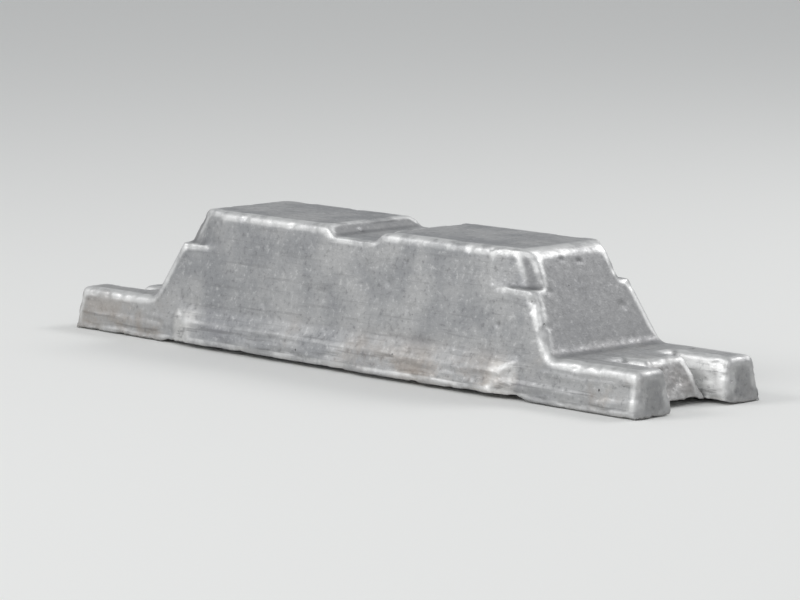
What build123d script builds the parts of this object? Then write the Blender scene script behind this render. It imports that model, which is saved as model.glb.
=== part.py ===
from build123d import *
import os
from math import radians, tan

# Cast aluminium remelt ingot of about 22 kg, poured into an open mould as one piece.
# It lies on its wide casting face, on the four feet under its two ears.
# Millimetres, length along X, width along Y, +Z up.
# The origin is under the middle of the ingot, on the plane that the feet stand on.

# Bar
length = 720.0                 # from ear tip to ear tip
height = 123.0                 # from the feet to the narrow face
foot_width = 154.0             # across the ears, where they stand
narrow_width = 105.0           # across the narrow face
end_slope_angle = 61.0         # of each end wall, from the horizontal
end_top_radius = 18.0          # where an end wall turns into the narrow face
edge_radius = 6.5              # along the edges that the mould rounds

# Ears
ear_reach = 106.0              # from the foot of the end wall to the ear's tip
ear_thickness = 39.0
ear_tip_lean = 3.0             # how far the tip's upper edge lies back of its lower one
ear_root_radius = 12.0         # where the ear runs up into the end wall

# Teeth at each ear's tip, and the block set back between them
tooth_base_width = 46.0
tooth_top_width = 31.0
groove_base_width = 2.5        # of each groove between a tooth and the block, at the feet
groove_top_width = 14.5        # and at the ear's upper face
groove_floor = 4.0             # height of the grooves' floor
groove_base_length = 51.0      # from the tip, along the groove's floor
groove_top_length = 66.0       # from the tip, along the ear's upper face
block_base_setback = 19.0      # of the block's end behind the tip, at the feet
block_top_setback = 41.0       # and at the ear's upper face

# Rim band along the wide edge of the sides
rim_width = 168.0              # over both bands, at the casting face
rim_height = 35.0              # where the band leaves the side wall
rim_shoulder_height = 24.0     # where it stands out at its full step
rim_step = 5.0                 # how far it stands out there
rim_end_from_tip = 139.0       # where the band begins, from the ear's tip
rim_taper_run = 28.0           # length over which it comes up to its full width

# Casting face
face_rise = 3.0                # of the casting face above the feet
face_ramp_from_tip = 123.0     # where the ramp up to it begins
face_ramp_run = 13.0
hollow_width = 86.0            # of the shallow hollow along the middle
hollow_depth = 5.5

# Lift notch across the narrow face
notch_mouth = 75.0
notch_floor = 50.0
notch_depth = 9.0

# Reliefs at the four corners of the narrow face, above a ledge
relief_height = 32.0           # from the narrow face down to the ledge
relief_length = 53.0           # along the ledge, from the end wall
relief_setback = 6.0           # of the relief's wall, where its corner facet begins
facet_run = 13.0               # length of that facet along the ingot
facet_setback = 8.0            # and how much further back it leads

# Plain allowances: for cutters that run past a face, and for finding edges by their place
clear = 5.0
match = 0.01


# Shared geometry

tip = length / 2
slope_foot = tip - ear_reach
end_slope = tan(radians(end_slope_angle))
side_lean = (foot_width - narrow_width) / 2 / height


def half_width(z):
    """Half the width between the two side walls at height z."""
    return foot_width / 2 - side_lean * z


def end_wall(z):
    """Distance of the end wall from the middle at height z."""
    return slope_foot - (z - ear_thickness) / end_slope


def along_x(points, reach):
    """Prism along X of an outline given as (y, z)."""
    outline = make_face(Polyline(*points, close=True))
    return extrude(Plane.YZ * outline, reach, both=True)


def along_y(points, reach):
    """Prism along Y of an outline given as (x, z)."""
    outline = make_face(Polyline(*points, close=True))
    return extrude(Plane.XZ * outline, reach, both=True)


def both_ends(piece):
    """A piece at the +X end and its mirror image at the other."""
    return piece + mirror(piece, Plane.YZ)


def both_sides(piece):
    """A piece at the +Y side and its mirror image at the other."""
    return piece + mirror(piece, Plane.XZ)


# The bar with its two ears: a drafted cross-section and the side view, intersected

def bar():
    section = [
        (-half_width(0), 0),
        (half_width(0), 0),
        (half_width(height), height),
        (-half_width(height), height),
    ]
    right_end = [
        (tip, 0),
        (tip - ear_tip_lean, ear_thickness),
        (slope_foot, ear_thickness),
        (end_wall(height), height),
    ]
    left_end = [(-x, z) for x, z in reversed(right_end)]
    corner_radii = [0, 0, ear_root_radius, end_top_radius]
    side_view = FilletPolyline(
        *right_end, *left_end, radius=corner_radii + corner_radii[::-1], close=True
    )
    profile = extrude(Plane.XZ * make_face(side_view), foot_width, both=True)
    return along_x(section, length) & profile


# Rim band: a flare along each side wall that fades out before the ears

def rim_bands():
    buried = half_width(rim_height) / 2
    section = [
        (buried, face_rise),
        (rim_width / 2, face_rise),
        (half_width(rim_shoulder_height) + rim_step, rim_shoulder_height),
        (half_width(rim_height), rim_height),
        (buried, rim_height),
    ]
    band_end = tip - rim_end_from_tip
    outer = rim_width / 2
    inner = half_width(0)
    plan = [
        (-band_end, inner),
        (-band_end + rim_taper_run, outer),
        (band_end - rim_taper_run, outer),
        (band_end, inner),
        (band_end, 0),
        (-band_end, 0),
    ]
    footprint = make_face(Polyline(*plan, close=True))
    up_the_wall = Vector(0, -side_lean, 1)
    extent = extrude(footprint, rim_height * up_the_wall.length, dir=up_the_wall)
    return both_sides(along_x(section, length) & extent)


# Casting face: raised off the feet between the ears, with a shallow hollow all along

def casting_face_cut():
    ramp_start = tip - face_ramp_from_tip
    ramp_end = ramp_start - face_ramp_run
    raised = along_y(
        [(-ramp_start, 0), (-ramp_end, face_rise), (ramp_end, face_rise), (ramp_start, 0)],
        rim_width,
    )
    hollow_edge = hollow_width / 2
    arch = ThreePointArc((-hollow_edge, 0), (0, hollow_depth), (hollow_edge, 0))
    hollow = make_face(arch + Line((hollow_edge, 0), (-hollow_edge, 0)))
    return raised + extrude(Plane.YZ * hollow, length, both=True)


# Teeth: what is cut from an ear to leave two teeth and the block set back between them

def tooth_inner(z):
    """Distance of a tooth's inner flank from the middle at height z."""
    base = foot_width / 2 - tooth_base_width
    top = half_width(ear_thickness) - tooth_top_width
    return base + (top - base) * z / ear_thickness


def block_half(z):
    """Half the block's width at height z, between the two grooves."""
    groove = groove_base_width + (groove_top_width - groove_base_width) * z / ear_thickness
    return tooth_inner(z) - groove


def block_setback(z):
    """Distance of the block's end behind the tip at height z."""
    return block_base_setback + (block_top_setback - block_base_setback) * z / ear_thickness


def ear_cut():
    low = -clear
    high = ear_thickness + clear
    between_teeth = along_x(
        [
            (-tooth_inner(low), low),
            (tooth_inner(low), low),
            (tooth_inner(high), high),
            (-tooth_inner(high), high),
        ],
        length,
    )
    before_block = along_y(
        [
            (tip - block_setback(low), low),
            (tip + clear, low),
            (tip + clear, high),
            (tip - block_setback(high), high),
        ],
        foot_width,
    )
    groove_section = along_x(
        [
            (block_half(groove_floor), groove_floor),
            (tooth_inner(groove_floor), groove_floor),
            (tooth_inner(high), high),
            (block_half(high), high),
        ],
        length,
    )
    groove_lean = (groove_top_length - groove_base_length) / (ear_thickness - groove_floor)
    groove_extent = along_y(
        [
            (tip - groove_base_length, groove_floor),
            (tip + clear, groove_floor),
            (tip + clear, high),
            (tip - groove_top_length - groove_lean * clear, high),
        ],
        foot_width,
    )
    groove = groove_section & groove_extent
    return (between_teeth & before_block) + both_sides(groove)


# Lift notch: a shallow trough across the middle of the narrow face

def notch_cut():
    flank = (notch_mouth - notch_floor) / 2 / notch_depth
    half_mouth = notch_mouth / 2 + flank * clear
    floor = height - notch_depth
    return along_y(
        [
            (-notch_floor / 2, floor),
            (notch_floor / 2, floor),
            (half_mouth, height + clear),
            (-half_mouth, height + clear),
        ],
        narrow_width,
    )


# Corner relief: cut above a ledge, with a wall turned inwards and a facet at the corner

def relief_cut():
    ledge = height - relief_height
    inner_end = end_wall(ledge) - relief_length
    wall_turn = relief_setback / (relief_length - facet_run)
    facet_turn = facet_setback / facet_run

    def outline(z):
        wall = half_width(z)
        turn = end_wall(z) - facet_run
        turn_wall = wall - wall_turn * (turn - inner_end)
        reach = end_wall(z) + clear
        corners = [
            (inner_end, wall, z),
            (turn, turn_wall, z),
            (reach, turn_wall - facet_turn * (reach - turn), z),
            (reach, foot_width / 2, z),
            (inner_end, foot_width / 2, z),
        ]
        return make_face(Polyline(*corners, close=True))

    return loft([outline(ledge), outline(height + clear)])


# Rounded edges: the outlines of both sides, of the teeth and blocks, and of the tooth tips

def at(value, target):
    return abs(value - target) < match


def is_side_edge(points):
    """On a side wall's outline, apart from its lower edge."""
    one_side = len({p.Y > 0 for p in points}) == 1
    return (
        one_side
        and all(at(abs(p.Y), half_width(p.Z)) for p in points)
        and max(p.Z for p in points) > match
    )


def is_ear_edge(points):
    """Round a tooth or a block, on the ear's upper face."""
    beyond_root = min(abs(p.X) for p in points) > slope_foot + ear_root_radius
    return beyond_root and all(at(p.Z, ear_thickness) for p in points)


def is_tooth_tip_edge(points):
    """Between a tooth's tip and its inner flank."""
    return all(
        at(abs(p.X), tip - ear_tip_lean * p.Z / ear_thickness) and at(abs(p.Y), tooth_inner(p.Z))
        for p in points
    )


def rounded(body):
    tests = (is_side_edge, is_ear_edge, is_tooth_tip_edge)
    edges = [edge for edge in body.edges() if any(test(edge.vertices()) for test in tests)]
    return fillet(edges, edge_radius)


def ingot():
    body = rounded(bar() - both_ends(ear_cut()))
    body = body + rim_bands()
    body = body - casting_face_cut()
    body = body - notch_cut()
    body = body - both_ends(both_sides(relief_cut()))
    return body


os.makedirs("parts", exist_ok=True)
export_step(ingot(), "parts/ingot.step")
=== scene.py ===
from math import cos, radians, sin

import bmesh
import bpy
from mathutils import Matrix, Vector


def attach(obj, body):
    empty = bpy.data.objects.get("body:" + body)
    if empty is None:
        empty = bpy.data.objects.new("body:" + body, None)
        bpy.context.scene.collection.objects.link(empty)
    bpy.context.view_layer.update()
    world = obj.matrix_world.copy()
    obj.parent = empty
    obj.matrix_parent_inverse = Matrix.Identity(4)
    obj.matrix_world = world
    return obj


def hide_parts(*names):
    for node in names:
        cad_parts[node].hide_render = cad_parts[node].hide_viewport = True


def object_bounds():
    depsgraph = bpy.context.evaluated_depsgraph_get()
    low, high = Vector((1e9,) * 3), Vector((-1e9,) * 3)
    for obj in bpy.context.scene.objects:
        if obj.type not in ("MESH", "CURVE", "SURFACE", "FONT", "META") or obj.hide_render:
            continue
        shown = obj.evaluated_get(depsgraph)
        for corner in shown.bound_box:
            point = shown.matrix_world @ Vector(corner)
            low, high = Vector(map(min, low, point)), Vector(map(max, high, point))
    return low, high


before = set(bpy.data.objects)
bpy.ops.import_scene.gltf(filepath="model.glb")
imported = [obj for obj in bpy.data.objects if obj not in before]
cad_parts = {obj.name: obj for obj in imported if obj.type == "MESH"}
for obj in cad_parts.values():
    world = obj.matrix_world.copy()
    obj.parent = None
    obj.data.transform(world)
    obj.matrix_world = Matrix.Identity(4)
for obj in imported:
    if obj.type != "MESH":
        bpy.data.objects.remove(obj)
cad_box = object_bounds()


# Ingot
# One casting of remelt aluminium, poured into an open iron mould and knocked out when cold.
# The coated mould leaves its walls sandy and matt. The face that cools in the air is wrinkled.

MM = 0.001
weld_distance = 0.001 * MM
casting_voxel = 2.1 * MM         # grid on which the edges of the casting are softened
softening = 0.5                  # how far a point moves to the middle of its neighbours
softening_rounds = 2

cad_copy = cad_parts["ingot"].data.copy()
welding = bmesh.new()
welding.from_mesh(cad_copy)
bmesh.ops.remove_doubles(welding, verts=welding.verts, dist=weld_distance)
welding.to_mesh(cad_copy)
welding.free()
casting = bpy.data.objects.new("casting", cad_copy)
bpy.context.scene.collection.objects.link(casting)

casting_grid = casting.modifiers.new("casting grid", "REMESH")
casting_grid.mode = "VOXEL"
casting_grid.voxel_size = casting_voxel
soft_edges = casting.modifiers.new("soft edges", "SMOOTH")
soft_edges.factor = softening
soft_edges.iterations = softening_rounds


def add(tree, kind, inputs, output=0, **settings):
    """Adds a node with its settings, sets or links its inputs, and gives one of its outputs."""
    node = tree.nodes.new(kind)
    for name, value in settings.items():
        setattr(node, name, value)
    for name, value in inputs.items():
        socket = node.inputs[name]
        if isinstance(value, bpy.types.NodeSocket):
            tree.links.new(value, socket)
        else:
            socket.default_value = value
    return node.outputs[output] if node.outputs else node


def cells(millimetres):
    """Scale of a pattern whose cells are that many millimetres across."""
    return 1 / (millimetres * MM)


# Cast skin: what shrinkage, cold laps, gas and handling do to the clean form of the mould.
# Each effect moves the surface in or out, and their sum stays inside the box of the clean form.

skin_sizes = {
    "Broad waves": 1.1 * MM,
    "Mottle": 0.4 * MM,
    "Laps": 0.9 * MM,
    "Rim loss": 1.7 * MM,
    "Flow fronts": 2.8 * MM,
    "Fold depth": 1.4 * MM,
    "Pore depth": 1.4 * MM,
    "Pore radius": 3.6 * MM,
    "Dent depth": 0.8 * MM,
    "Dent radius": 6.0 * MM,
    "Edge nicks": 1.4 * MM,
}
skin_inputs = dict.fromkeys(skin_sizes, "NodeSocketFloat")
skin_inputs["Lowest corner"] = "NodeSocketVector"
skin_inputs["Highest corner"] = "NodeSocketVector"
skin_inputs["Metal"] = "NodeSocketMaterial"
noise_mean = 0.5
tooth_end_share = 0.85           # how far the ends of the teeth look like the end walls
mottle_lost_on_ends = 0.7        # share of the mottle that the end walls are without
wear_lost_on_lip = 0.6           # share of the rubbing that the ragged lip is without
wear_lost_on_tooth_ends = 0.6    # and that the ends of the teeth are without
fold_darkness = 0.5              # of a fold, where a corner or the middle of a pore has 1

skin = bpy.data.node_groups.new("cast skin", "GeometryNodeTree")
skin.is_modifier = True
skin.interface.new_socket("Casting", in_out="INPUT", socket_type="NodeSocketGeometry")
identifiers = {}
for name, kind in skin_inputs.items():
    socket = skin.interface.new_socket(name, in_out="INPUT", socket_type=kind)
    identifiers[name] = socket.identifier
skin.interface.new_socket("Casting", in_out="OUTPUT", socket_type="NodeSocketGeometry")

given = skin.nodes.new("NodeGroupInput").outputs
place = add(skin, "GeometryNodeInputPosition", {})
facing = add(skin, "GeometryNodeInputNormal", {})
from_middle = add(skin, "ShaderNodeVectorMath", {0: place}, operation="ABSOLUTE")
either_way = add(skin, "ShaderNodeVectorMath", {0: facing}, operation="ABSOLUTE")
along = add(skin, "ShaderNodeSeparateXYZ", {"Vector": from_middle}, "X")
across = add(skin, "ShaderNodeSeparateXYZ", {"Vector": from_middle}, "Y")
height = add(skin, "ShaderNodeSeparateXYZ", {"Vector": place}, "Z")
end_facing = add(skin, "ShaderNodeSeparateXYZ", {"Vector": either_way}, "X")
side_facing = add(skin, "ShaderNodeSeparateXYZ", {"Vector": either_way}, "Y")
up_facing = add(skin, "ShaderNodeSeparateXYZ", {"Vector": facing}, "Z")

# Masks, first the plain ones: each rises smoothly from 0 where it starts to 1 where it is full.
# Lengths are from the ingot's middle or above its feet, and a face that is square on measures 1.
masks = {}
for name, measure, start, full in (
    ("open_face", up_facing, -0.6, -0.9),
    ("facing_an_end", end_facing, 0.25, 0.6),
    ("facing_a_side", side_facing, 0.45, 0.75),
    ("ear", along, 256 * MM, 270 * MM),
    ("teeth_and_block", along, 300 * MM, 312 * MM),
    ("rim_comes_up", along, 184 * MM, 197 * MM),
    ("rim_dies_out", along, 223 * MM, 215 * MM),
    ("between_teeth", across, 48 * MM, 43 * MM),
    ("block", across, 33 * MM, 27 * MM),
    ("above_ear", height, 38 * MM, 41 * MM),
    ("near_the_rim", height, 44 * MM, 14 * MM),
    ("rim_foot", height, 34 * MM, 29 * MM),
    ("lip", height, 13 * MM, 3 * MM),
):
    masks[name] = add(
        skin, "ShaderNodeMapRange", {"Value": measure, "From Min": start, "From Max": full},
        interpolation_type="SMOOTHSTEP",
    )
masks["tooth_end"] = add(
    skin, "ShaderNodeMapRange",
    {"Value": along, "From Min": 340 * MM, "From Max": 350 * MM, "To Max": tooth_end_share},
    interpolation_type="SMOOTHSTEP",
)
masks["walls"] = add(
    skin, "ShaderNodeMath", {0: 1.0, 1: masks["open_face"]}, operation="SUBTRACT"
)

# Then those that are where two others meet
for name, one, other in (
    ("end_wall", "above_ear", "facing_an_end"),
    ("block_end", "block", "teeth_and_block"),
    ("block_end", "block_end", "facing_an_end"),
    ("tooth_end", "tooth_end", "facing_an_end"),
    ("tooth_flank", "facing_a_side", "between_teeth"),
    ("tooth_flank", "tooth_flank", "teeth_and_block"),
    ("near_the_rim", "near_the_rim", "walls"),
    ("rim_foot", "rim_foot", "walls"),
    ("rim_end", "rim_comes_up", "rim_dies_out"),
    ("rim_end", "rim_end", "rim_foot"),
    ("lip", "lip", "walls"),
):
    masks[name] = add(
        skin, "ShaderNodeMath", {0: masks[one], 1: masks[other]}, operation="MULTIPLY"
    )
masks["end_wall"] = add(
    skin, "ShaderNodeMath", {0: masks["end_wall"], 1: masks["tooth_end"]}, operation="MAXIMUM"
)

# Shrinkage: long shallow waves, and a finer unevenness
waves = add(skin, "ShaderNodeTexNoise", {"Vector": place, "Scale": cells(95), "Detail": 2.0})
waves = add(skin, "ShaderNodeMath", {0: waves, 1: noise_mean}, operation="SUBTRACT")
relief = add(skin, "ShaderNodeMath", {0: waves, 1: given["Broad waves"]}, operation="MULTIPLY")
mottle = add(
    skin, "ShaderNodeTexNoise",
    {"Vector": place, "Scale": cells(16), "Detail": 3.0, "Roughness": 0.6},
)
mottle = add(skin, "ShaderNodeMath", {0: mottle, 1: noise_mean}, operation="SUBTRACT")
plainer = add(
    skin, "ShaderNodeMath", {0: masks["end_wall"], 1: -mottle_lost_on_ends, 2: 1.0},
    operation="MULTIPLY_ADD",
)
mottle = add(skin, "ShaderNodeMath", {0: mottle, 1: plainer}, operation="MULTIPLY")
relief = add(
    skin, "ShaderNodeMath", {0: mottle, 1: given["Mottle"], 2: relief}, operation="MULTIPLY_ADD"
)

# Laps: level lines near the open edge, where the metal set before the next of it rose
lap_shape = (0.12, 1.0, 1.0)     # eight times as long as high
drawn_out = add(skin, "ShaderNodeVectorMath", {0: place, 1: lap_shape}, operation="MULTIPLY")
laps = add(
    skin, "ShaderNodeTexNoise",
    {"Vector": drawn_out, "Scale": cells(11), "Detail": 2.0, "Roughness": 0.6},
)
laps = add(
    skin, "ShaderNodeMapRange",
    {"Value": laps, "From Min": 0.47, "From Max": 0.55, "To Min": -0.5, "To Max": 0.5},
    interpolation_type="SMOOTHSTEP",
)
laps = add(skin, "ShaderNodeMath", {0: laps, 1: masks["near_the_rim"]}, operation="MULTIPLY")
relief = add(
    skin, "ShaderNodeMath", {0: laps, 1: given["Laps"], 2: relief}, operation="MULTIPLY_ADD"
)

# Ragged lip: short stretches of the open edge that the metal didn't fill
loss_shape = (0.5, 1.0, 1.0)     # twice as long as high
lip_place = add(skin, "ShaderNodeVectorMath", {0: place, 1: loss_shape}, operation="MULTIPLY")
ragged = add(
    skin, "ShaderNodeTexNoise",
    {"Vector": lip_place, "Scale": cells(12), "Detail": 3.0, "Roughness": 0.65},
)
ragged = add(
    skin, "ShaderNodeMapRange",
    {"Value": ragged, "From Min": 0.5, "From Max": 0.72, "To Max": -1.0},
    interpolation_type="SMOOTHSTEP",
)
ragged = add(skin, "ShaderNodeMath", {0: ragged, 1: masks["lip"]}, operation="MULTIPLY")
relief = add(
    skin, "ShaderNodeMath", {0: ragged, 1: given["Rim loss"], 2: relief}, operation="MULTIPLY_ADD"
)

# Open face: it set in low flow fronts, one after another. They are levels of a broad noise, each
# flat but for the rise at its edge.
front_bend = (90 * MM, 30 * MM, 0.0)     # how far a front runs out of its way
front_shape = (1.0, 0.35, 0.0)   # three times as long across the face as along it
front_levels = 14.0              # over the whole range of the noise
lowest_front = 4.0               # this level and those under it lie deepest
highest_front = 10.0             # this one and those over it lie in the face
bent = add(
    skin, "ShaderNodeTexNoise", {"Vector": place, "Scale": cells(120), "Detail": 1.0}, "Color"
)
bent = add(
    skin, "ShaderNodeVectorMath", {0: bent, 1: front_bend, 2: place}, operation="MULTIPLY_ADD"
)
front_place = add(skin, "ShaderNodeVectorMath", {0: bent, 1: front_shape}, operation="MULTIPLY")
fronts = add(
    skin, "ShaderNodeTexNoise",
    {"Vector": front_place, "Scale": cells(58), "Detail": 4.0, "Roughness": 0.55},
)
fronts = add(skin, "ShaderNodeMath", {0: fronts, 1: front_levels}, operation="MULTIPLY")
front_count = add(skin, "ShaderNodeMath", {0: fronts}, operation="FLOOR")
front_rise = add(skin, "ShaderNodeMath", {0: fronts}, operation="FRACT")
front_rise = add(
    skin, "ShaderNodeMapRange", {"Value": front_rise, "From Min": 0.7, "From Max": 1.0},
    interpolation_type="SMOOTHSTEP",
)
fronts = add(skin, "ShaderNodeMath", {0: front_count, 1: front_rise}, operation="ADD")
fronts = add(
    skin, "ShaderNodeMapRange",
    {
        "Value": fronts, "From Min": lowest_front, "From Max": highest_front,
        "To Min": -1.0, "To Max": 0.0,
    },
)
fronts = add(skin, "ShaderNodeMath", {0: fronts, 1: masks["open_face"]}, operation="MULTIPLY")
relief = add(
    skin, "ShaderNodeMath", {0: fronts, 1: given["Flow fronts"], 2: relief},
    operation="MULTIPLY_ADD",
)

# Folds: broken creases in the oxide of the open face, along the middle values of a second noise
folds = add(
    skin, "ShaderNodeTexNoise", {"Vector": front_place, "Scale": cells(62), "Detail": 2.0}
)
folds = add(skin, "ShaderNodeMath", {0: folds, 1: noise_mean}, operation="SUBTRACT")
folds = add(skin, "ShaderNodeMath", {0: folds}, operation="ABSOLUTE")
folds = add(
    skin, "ShaderNodeMapRange", {"Value": folds, "From Min": 0.035, "From Max": 0.0},
    interpolation_type="SMOOTHSTEP",
)
folds = add(skin, "ShaderNodeMath", {0: folds, 1: masks["open_face"]}, operation="MULTIPLY")
fold_breaks = add(skin, "ShaderNodeTexNoise", {"Vector": place, "Scale": cells(38), "Detail": 1.0})
fold_breaks = add(
    skin, "ShaderNodeMapRange", {"Value": fold_breaks, "From Min": 0.4, "From Max": 0.54},
    interpolation_type="SMOOTHSTEP",
)
folds = add(skin, "ShaderNodeMath", {0: folds, 1: fold_breaks}, operation="MULTIPLY")
fold_drop = add(skin, "ShaderNodeMath", {0: folds, 1: given["Fold depth"]}, operation="MULTIPLY")
relief = add(skin, "ShaderNodeMath", {0: relief, 1: fold_drop}, operation="SUBTRACT")

# Nicks: small losses along the edges that stand out furthest
evened = add(
    skin, "GeometryNodeBlurAttribute", {"Value": place, "Iterations": 12},
    data_type="FLOAT_VECTOR",
)
standing_out = add(skin, "ShaderNodeVectorMath", {0: place, 1: evened}, operation="SUBTRACT")
standing_out = add(
    skin, "ShaderNodeVectorMath", {0: standing_out, 1: facing}, "Value", operation="DOT_PRODUCT"
)
standing_out = add(
    skin, "GeometryNodeBlurAttribute", {"Value": standing_out, "Iterations": 1},
    data_type="FLOAT",
)
for name, start, full in (("ridge", 0.12 * MM, 0.44 * MM), ("corner", -0.1 * MM, -0.8 * MM)):
    masks[name] = add(
        skin, "ShaderNodeMapRange", {"Value": standing_out, "From Min": start, "From Max": full},
        interpolation_type="SMOOTHSTEP",
    )
nicks = add(skin, "ShaderNodeTexNoise", {"Vector": place, "Scale": cells(19), "Detail": 1.0})
nicks = add(
    skin, "ShaderNodeMapRange",
    {"Value": nicks, "From Min": 0.53, "From Max": 0.7, "To Max": -1.0},
    interpolation_type="SMOOTHSTEP",
)
nicks = add(skin, "ShaderNodeMath", {0: nicks, 1: masks["ridge"]}, operation="MULTIPLY")
relief = add(
    skin, "ShaderNodeMath", {0: nicks, 1: given["Edge nicks"], 2: relief},
    operation="MULTIPLY_ADD",
)

# Gas pores, and shallow dents from handling: hollows round points strewn over the casting
hollows = {}
for name, points_per_square_metre, seed in (("Pore", 110.0, 11), ("Dent", 130.0, 5)):
    points = add(
        skin, "GeometryNodeDistributePointsOnFaces",
        {"Mesh": given["Casting"], "Density": points_per_square_metre, "Seed": seed},
    )
    reach = add(
        skin, "GeometryNodeProximity", {"Geometry": points}, "Distance", target_element="POINTS"
    )
    hollows[name] = add(
        skin, "ShaderNodeMapRange",
        {"Value": reach, "From Min": given[name + " radius"], "From Max": 0.0},
        interpolation_type="SMOOTHSTEP",
    )
    drop = add(
        skin, "ShaderNodeMath", {0: hollows[name], 1: given[name + " depth"]},
        operation="MULTIPLY",
    )
    relief = add(skin, "ShaderNodeMath", {0: relief, 1: drop}, operation="SUBTRACT")

# The surface, moved by the sum of the effects and kept inside the box
shift = add(skin, "ShaderNodeVectorMath", {0: facing, "Scale": relief}, operation="SCALE")
moved = add(skin, "ShaderNodeVectorMath", {0: place, 1: shift}, operation="ADD")
moved = add(
    skin, "ShaderNodeVectorMath", {0: moved, 1: given["Lowest corner"]}, operation="MAXIMUM"
)
moved = add(
    skin, "ShaderNodeVectorMath", {0: moved, 1: given["Highest corner"]}, operation="MINIMUM"
)

# What the metal's look needs to know of the form: where it is rubbed and given a painted
# highlight, or sunken and given painted shade, and some masks
masks["worn_and_highlit"] = masks["ridge"]
for name, loss in (("lip", wear_lost_on_lip), ("tooth_end", wear_lost_on_tooth_ends)):
    kept = add(
        skin, "ShaderNodeMath", {0: masks[name], 1: -loss, 2: 1.0}, operation="MULTIPLY_ADD"
    )
    masks["worn_and_highlit"] = add(
        skin, "ShaderNodeMath", {0: masks["worn_and_highlit"], 1: kept}, operation="MULTIPLY"
    )
fold_mark = add(skin, "ShaderNodeMath", {0: folds, 1: fold_darkness}, operation="MULTIPLY")
masks["sunken"] = masks["corner"]
for hollow in (hollows["Pore"], fold_mark):
    masks["sunken"] = add(
        skin, "ShaderNodeMath", {0: masks["sunken"], 1: hollow}, operation="MAXIMUM"
    )
shown = ("worn_and_highlit", "sunken", "end_wall", "block_end", "rim_end", "open_face", "ear", "tooth_flank")
marked = given["Casting"]
for name in shown:
    marked = add(
        skin, "GeometryNodeStoreNamedAttribute",
        {"Geometry": marked, "Name": name, "Value": masks[name]},
        data_type="FLOAT", domain="POINT",
    )
relieved = add(skin, "GeometryNodeSetPosition", {"Geometry": marked, "Position": moved})
whole = add(skin, "GeometryNodeRealizeInstances", {"Geometry": relieved})
finished = add(
    skin, "GeometryNodeSetMaterial", {"Geometry": whole, "Material": given["Metal"]}
)
add(skin, "NodeGroupOutput", {"Casting": finished})


# As-cast aluminium with a thin skin of oxide. The coated mould leaves it matt and sandy, in
# clouds of lighter and darker grey. Handling wears the edges bright, and damp leaves tan stains
# low down. Painted highlights lie on the edges, the teeth's inner flanks and the rim's ends, and
# painted shade on the end walls, in corners, pores, folds and pinholes.

def linear(hex_colour):
    """An sRGB hex colour as the linear colour that a socket takes."""
    parts = [int(hex_colour[i:i + 2], 16) / 255 for i in (1, 3, 5)]
    return [c / 12.92 if c <= 0.04045 else ((c + 0.055) / 1.055) ** 2.4 for c in parts] + [1.0]


# How much of its colour, its own or painted light and shade, each place takes, and how much of the
# sand the smoother faces lose
ear_strength = 0.4
flank_painted_light_strength = 0.95
end_wall_tone_and_shade_strength = 0.75
pinhole_shade_strength = 0.75
sunken_oxide_and_shade_strength = 0.5
rubbed_and_highlit_strength = 0.92
sand_lost_on_smooth = 0.65
sand_lost_where_rubbed = 0.7

metal = bpy.data.materials.new("as-cast aluminium")
metal.use_nodes = True
look = metal.node_tree
look.nodes.clear()

spot = add(look, "ShaderNodeTexCoord", {}, "Object")
level = add(look, "ShaderNodeSeparateXYZ", {"Vector": spot}, "Z")
marks = {}
for name in shown:
    marks[name] = add(look, "ShaderNodeAttribute", {}, "Fac", attribute_name=name)

# Clouds of oxide, 50 mm across
clouds = add(
    look, "ShaderNodeTexNoise",
    {"Vector": spot, "Scale": cells(50), "Detail": 5.0, "Roughness": 0.6},
)
cloud_share = add(
    look, "ShaderNodeMapRange", {"Value": clouds, "From Min": 0.34, "From Max": 0.66},
    interpolation_type="SMOOTHSTEP",
)

# Ears: a little paler, since they are handled most, apart from the blocks' ends
ear_share = add(
    look, "ShaderNodeMath", {0: marks["block_end"], 1: -ear_strength, 2: ear_strength},
    operation="MULTIPLY_ADD",
)
ear_share = add(look, "ShaderNodeMath", {0: ear_share, 1: marks["ear"]}, operation="MULTIPLY")

# Inner flanks of the teeth: painted the palest, a painted highlight for the light that falls
# between the teeth
flank_painted_light_share = add(
    look, "ShaderNodeMath", {0: marks["tooth_flank"], 1: flank_painted_light_strength}, operation="MULTIPLY"
)

# Walls of the ends, and the ends of the teeth: a darker and plainer grey, partly their own
# smoother oxide and partly painted shade
end_wall_tone_and_shade_share = add(
    look, "ShaderNodeMath", {0: marks["end_wall"], 1: end_wall_tone_and_shade_strength}, operation="MULTIPLY"
)

# Ends of the rim: facets painted paler, a painted highlight where they stand out
rim_end_painted_highlight = add(
    look, "ShaderNodeMapRange",
    {"Value": clouds, "From Min": 0.35, "From Max": 0.6, "To Min": 0.45, "To Max": 0.8},
)
rim_end_painted_highlight = add(look, "ShaderNodeMath", {0: rim_end_painted_highlight, 1: marks["rim_end"]}, operation="MULTIPLY")

# Sandy mottling from the coating, 5 mm, and its grain, drawn at twice its size so that it shows
sand = add(
    look, "ShaderNodeTexNoise",
    {"Vector": spot, "Scale": cells(5), "Detail": 3.0, "Roughness": 0.65},
)
grain = add(look, "ShaderNodeTexNoise", {"Vector": spot, "Scale": cells(1.6), "Detail": 2.0})
smooth_share = add(
    look, "ShaderNodeMath", {0: marks["end_wall"], 1: marks["open_face"]}, operation="MAXIMUM"
)
sand_share = add(
    look, "ShaderNodeMath", {0: smooth_share, 1: -sand_lost_on_smooth, 2: 1.0},
    operation="MULTIPLY_ADD",
)
sands = {}
for name, start, full in (("dark", 0.54, 0.72), ("pale", 0.44, 0.28)):
    grains = add(
        look, "ShaderNodeMapRange",
        {"Value": sand, "From Min": start, "From Max": full, "To Max": 0.4},
        interpolation_type="SMOOTHSTEP",
    )
    sands[name] = add(look, "ShaderNodeMath", {0: grains, 1: sand_share}, operation="MULTIPLY")

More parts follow.
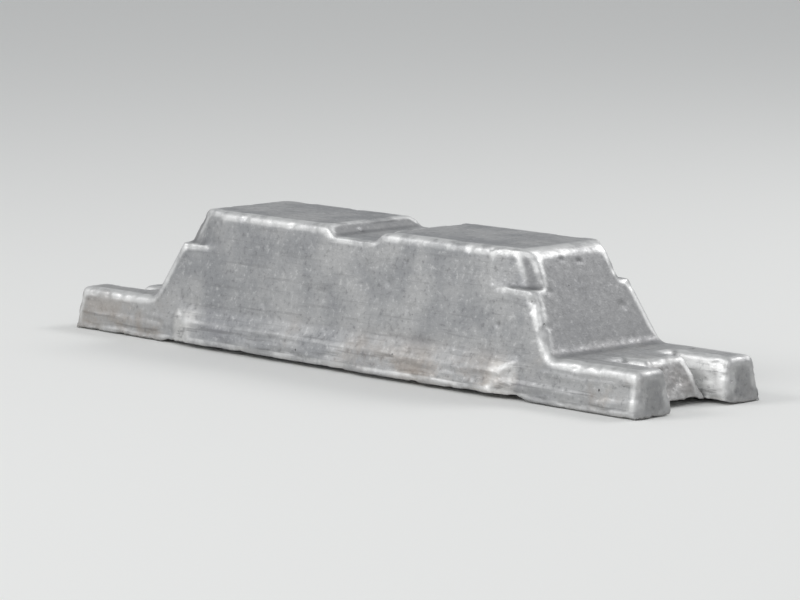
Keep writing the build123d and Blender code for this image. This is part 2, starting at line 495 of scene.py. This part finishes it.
# Flow lines: level streaks that the rising metal left on the walls, darker low down
streak_shape = (0.05, 1.0, 1.0)  # 4 mm high, and twenty times as long
low_down = add(
    look, "ShaderNodeMapRange", {"Value": level, "From Min": 52 * MM, "From Max": 4 * MM},
    interpolation_type="SMOOTHSTEP",
)
flow_place = add(look, "ShaderNodeVectorMath", {0: spot, 1: streak_shape}, operation="MULTIPLY")
flow = add(
    look, "ShaderNodeTexNoise",
    {"Vector": flow_place, "Scale": cells(4), "Detail": 3.0, "Roughness": 0.6},
)
flow_share = add(
    look, "ShaderNodeMapRange", {"Value": flow, "From Min": 0.55, "From Max": 0.68},
    interpolation_type="SMOOTHSTEP",
)
flow_strength = add(
    look, "ShaderNodeMapRange", {"Value": low_down, "To Min": 0.28, "To Max": 0.6}
)
flow_share = add(look, "ShaderNodeMath", {0: flow_share, 1: flow_strength}, operation="MULTIPLY")
on_the_walls = add(
    look, "ShaderNodeMath", {0: 1.0, 1: marks["open_face"]}, operation="SUBTRACT"
)
flow_share = add(look, "ShaderNodeMath", {0: flow_share, 1: on_the_walls}, operation="MULTIPLY")

# Stains: tan, or in places a violet grey, near the open edge, and a trace on the blocks' ends
stain = add(
    look, "ShaderNodeTexNoise",
    {"Vector": spot, "Scale": cells(75), "Detail": 6.0, "Roughness": 0.65},
)
stain = add(
    look, "ShaderNodeMapRange",
    {"Value": stain, "From Min": 0.47, "From Max": 0.66, "To Max": 0.55},
    interpolation_type="SMOOTHSTEP",
)
stain = add(look, "ShaderNodeMath", {0: stain, 1: low_down}, operation="MULTIPLY")
block_stain = add(
    look, "ShaderNodeMapRange",
    {"Value": clouds, "From Min": 0.35, "From Max": 0.62, "To Min": 0.22, "To Max": 0.0},
)
block_stain = add(
    look, "ShaderNodeMath", {0: block_stain, 1: marks["block_end"]}, operation="MULTIPLY"
)
stain = add(look, "ShaderNodeMath", {0: stain, 1: block_stain}, operation="MAXIMUM")
stain_kind = add(look, "ShaderNodeTexNoise", {"Vector": spot, "Scale": cells(130), "Detail": 1.0})
stain_kind = add(
    look, "ShaderNodeMapRange", {"Value": stain_kind, "From Min": 0.42, "From Max": 0.52},
    interpolation_type="SMOOTHSTEP",
)
stain_kind = add(
    look, "ShaderNodeMath", {0: stain_kind, 1: marks["block_end"]}, operation="MAXIMUM"
)

# Pinholes: gas holes about 1 mm across, a few to each palm's breadth. Of the cells of 15 mm that
# they lie in, those whose random number is above the threshold have one.
hole_jog = (1.2 * MM, 1.2 * MM, 1.2 * MM)
hole_threshold = 0.6
largest_hole = 0.085             # its radius, as a share of the cell
hole_core = 0.4                  # share of the radius over which a hole has its full depth
jog = add(look, "ShaderNodeTexNoise", {"Vector": spot, "Scale": cells(3), "Detail": 1.0}, "Color")
jog = add(look, "ShaderNodeVectorMath", {0: jog, 1: hole_jog, 2: spot}, operation="MULTIPLY_ADD")
hole_cells = {"Vector": jog, "Scale": cells(15)}
hole_reach = add(look, "ShaderNodeTexVoronoi", hole_cells, "Distance")
hole_chance = add(look, "ShaderNodeTexVoronoi", hole_cells, "Color")
hole_chance = add(look, "ShaderNodeSeparateColor", {"Color": hole_chance}, "Red")
hole_size = add(
    look, "ShaderNodeMapRange",
    {"Value": hole_chance, "From Min": hole_threshold, "From Max": 1.0, "To Max": largest_hole},
)
hole_inner = add(look, "ShaderNodeMath", {0: hole_size, 1: hole_core}, operation="MULTIPLY")
pinholes = add(
    look, "ShaderNodeMapRange",
    {"Value": hole_reach, "From Min": hole_size, "From Max": hole_inner},
)
there = add(
    look, "ShaderNodeMath", {0: hole_chance, 1: hole_threshold}, operation="GREATER_THAN"
)
pinholes = add(look, "ShaderNodeMath", {0: pinholes, 1: there}, operation="MULTIPLY")
# The holes are painted dark, a painted shade inside them.
hole_painted_shade = add(look, "ShaderNodeMath", {0: pinholes, 1: pinhole_shade_strength}, operation="MULTIPLY")

# Corners, pores and folds are darker, partly a darker oxide and partly painted shade, and the
# edges are rubbed bright in patches, partly real wear and partly a painted highlight
sunken_oxide_and_shade_share = add(
    look, "ShaderNodeMath", {0: marks["sunken"], 1: sunken_oxide_and_shade_strength}, operation="MULTIPLY"
)
rubbed_and_highlit = add(
    look, "ShaderNodeTexNoise",
    {"Vector": spot, "Scale": cells(24), "Detail": 3.0, "Roughness": 0.6},
)
rubbed_and_highlit = add(
    look, "ShaderNodeMapRange",
    {"Value": rubbed_and_highlit, "From Min": 0.4, "From Max": 0.56, "To Min": 0.4},
    interpolation_type="SMOOTHSTEP",
)
rubbed_and_highlit = add(look, "ShaderNodeMath", {0: rubbed_and_highlit, 1: marks["worn_and_highlit"]}, operation="MULTIPLY")
rubbed_and_highlit_share = add(look, "ShaderNodeMath", {0: rubbed_and_highlit, 1: rubbed_and_highlit_strength}, operation="MULTIPLY")

# The colours, each laid over those before it
under, over, mixed = 6, 7, 2     # sockets of a mix of colours
colour = add(
    look, "ShaderNodeMix",
    {"Factor": cloud_share, under: linear("#A2A3A5"), over: linear("#BBBBBB")}, mixed,
    data_type="RGBA",
)
stain_colour = add(
    look, "ShaderNodeMix",
    {"Factor": stain_kind, under: linear("#8C8A90"), over: linear("#A89A8C")}, mixed,
    data_type="RGBA",
)
for share, laid_over in (
    (ear_share, linear("#CBCBCA")),
    # painted highlight on the inner flanks of the teeth
    (flank_painted_light_share, linear("#F2F2F1")),
    # partly the end walls' own grey, partly painted shade on them and on the teeth's ends
    (end_wall_tone_and_shade_share, linear("#909091")),
    # painted highlight on the rim's end facets
    (rim_end_painted_highlight, linear("#E2E1DF")),
    (sands["dark"], linear("#7B7B7D")),
    (sands["pale"], linear("#E2E2E1")),
    (flow_share, linear("#858586")),
    (stain, stain_colour),
    # painted shade inside the pinholes
    (hole_painted_shade, linear("#4C4A49")),
    # partly darker oxide, partly painted shade in corners, pores and folds
    (sunken_oxide_and_shade_share, linear("#77777A")),
    # partly bright wear, partly a painted highlight on the edges
    (rubbed_and_highlit_share, linear("#E9E9E8")),
):
    colour = add(
        look, "ShaderNodeMix", {"Factor": share, under: colour, over: laid_over}, mixed,
        data_type="RGBA",
    )

# Matt oxide, a little smoother on the end walls, the open face and where rubbed
dullness = add(
    look, "ShaderNodeMapRange",
    {"Value": sand, "From Min": 0.3, "From Max": 0.7, "To Min": 0.5, "To Max": 0.66},
)
for smoother, change in (
    (marks["end_wall"], -0.06),
    (marks["open_face"], -0.12),
    (rubbed_and_highlit, -0.05),
):
    dullness = add(
        look, "ShaderNodeMath", {0: smoother, 1: change, 2: dullness}, operation="MULTIPLY_ADD"
    )

# Relief too fine for the mesh, one layer on another: the sand, its grain, the streaks, the holes
unrubbed = add(
    look, "ShaderNodeMath", {0: rubbed_and_highlit, 1: -sand_lost_where_rubbed, 2: 1.0},
    operation="MULTIPLY_ADD",
)
sand_height = add(look, "ShaderNodeMath", {0: sand_share, 1: unrubbed}, operation="MULTIPLY")
sand_height = add(look, "ShaderNodeMath", {0: sand, 1: sand_height}, operation="MULTIPLY")
layer_below = {}
for fine_relief, depth, strength, sinks in (
    (sand_height, 0.45 * MM, 0.7, False),
    (grain, 0.16 * MM, 0.6, False),
    (flow, 0.25 * MM, 0.5, False),
    (pinholes, 0.9 * MM, 0.9, True),
):
    bump = add(
        look, "ShaderNodeBump",
        {"Strength": strength, "Distance": depth, "Height": fine_relief, **layer_below},
        invert=sinks,
    )
    layer_below = {"Normal": bump}
surface = add(
    look, "ShaderNodeBsdfPrincipled",
    {"Base Color": colour, "Metallic": 1.0, "Roughness": dullness, "Normal": bump},
)
add(look, "ShaderNodeOutputMaterial", {"Surface": surface})

skin_step = casting.modifiers.new("cast skin", "NODES")
skin_step.node_group = skin
for name, size in skin_sizes.items():
    skin_step[identifiers[name]] = size
skin_step[identifiers["Lowest corner"]] = list(cad_box[0])
skin_step[identifiers["Highest corner"]] = list(cad_box[1])
skin_step[identifiers["Metal"]] = metal

evaluated = casting.evaluated_get(bpy.context.evaluated_depsgraph_get())
cast_mesh = bpy.data.meshes.new_from_object(evaluated)
cast_mesh.name = "cast_ingot"
cast_mesh.shade_smooth()
cast_ingot = bpy.data.objects.new("cast_ingot", cast_mesh)
bpy.context.scene.collection.objects.link(cast_ingot)
casting.modifiers.clear()
bpy.data.objects.remove(casting)

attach(cast_ingot, "root")
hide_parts("ingot")


# Floor
# The studio's floor, one flat sheet in a pale matt paint. The ingot stands on it on its four
# feet and isn't fixed to it.

floor_reach = 30.0               # metres from the middle to each edge
floor_mesh = bpy.data.meshes.new("floor")
floor_mesh.from_pydata(
    [
        (-floor_reach, -floor_reach, 0),
        (floor_reach, -floor_reach, 0),
        (floor_reach, floor_reach, 0),
        (-floor_reach, floor_reach, 0),
    ],
    [],
    [(0, 1, 2, 3)],
)
floor = bpy.data.objects.new("floor", floor_mesh)
bpy.context.scene.collection.objects.link(floor)
floor_paint = bpy.data.materials.new("pale floor paint")
floor_paint.use_nodes = True
floor_look = floor_paint.node_tree
floor_look.nodes.clear()
floor_surface = add(
    floor_look, "ShaderNodeBsdfPrincipled", {"Base Color": linear("#F0F0EE"), "Roughness": 0.85}
)
add(floor_look, "ShaderNodeOutputMaterial", {"Surface": floor_surface})
floor_mesh.materials.append(floor_paint)


# Light
# Three soft lamps in a pale room: a large one at the left before the ingot, a weaker one at the
# right before it, whose light lies along its edges, and one behind it. Lengths are in metres.

room = bpy.data.worlds.new("pale room")
bpy.context.scene.world = room
room.use_nodes = True
room_look = room.node_tree
room_look.nodes.clear()
room_light = add(
    room_look, "ShaderNodeBackground", {"Color": linear("#E6E8EA"), "Strength": 0.64}
)
add(room_look, "ShaderNodeOutputWorld", {"Surface": room_light})

for name, stand, width, depth, watts in (
    ("front_lamp", (-1.2, -2.4, 1.9), 1.6, 1.2, 29),
    ("edge_lamp", (1.7, -1.6, 1.7), 1.4, 1.0, 8),
    ("back_lamp", (0.9, 1.9, 2.1), 1.4, 1.0, 21),
):
    lamp = bpy.data.lights.new(name, "AREA")
    lamp.shape = "RECTANGLE"
    lamp.size = width
    lamp.size_y = depth
    lamp.energy = watts
    lamp_stand = bpy.data.objects.new(name, lamp)
    lamp_stand.location = stand
    lamp_stand.rotation_euler = (-Vector(stand)).to_track_quat("-Z", "Y").to_euler()
    bpy.context.scene.collection.objects.link(lamp_stand)


# Camera
# It looks along the side past the right end, a little from above, as the photograph does, and
# through a long lens.

azimuth = radians(46.5)
elevation = radians(8)
view_distance = 3.6
view_middle = Vector((0.006, -0.004, 0.056))

camera_data = bpy.data.cameras.new("camera")
camera_data.sensor_width = 36
camera_data.lens = 184
camera = bpy.data.objects.new("camera", camera_data)
back = Vector((sin(azimuth) * cos(elevation), -cos(azimuth) * cos(elevation), sin(elevation)))
camera.location = view_middle + back * view_distance
camera.rotation_euler = (-back).to_track_quat("-Z", "Y").to_euler()
bpy.context.scene.collection.objects.link(camera)
bpy.context.scene.camera = camera
bpy.context.scene.view_settings.view_transform = "Standard"
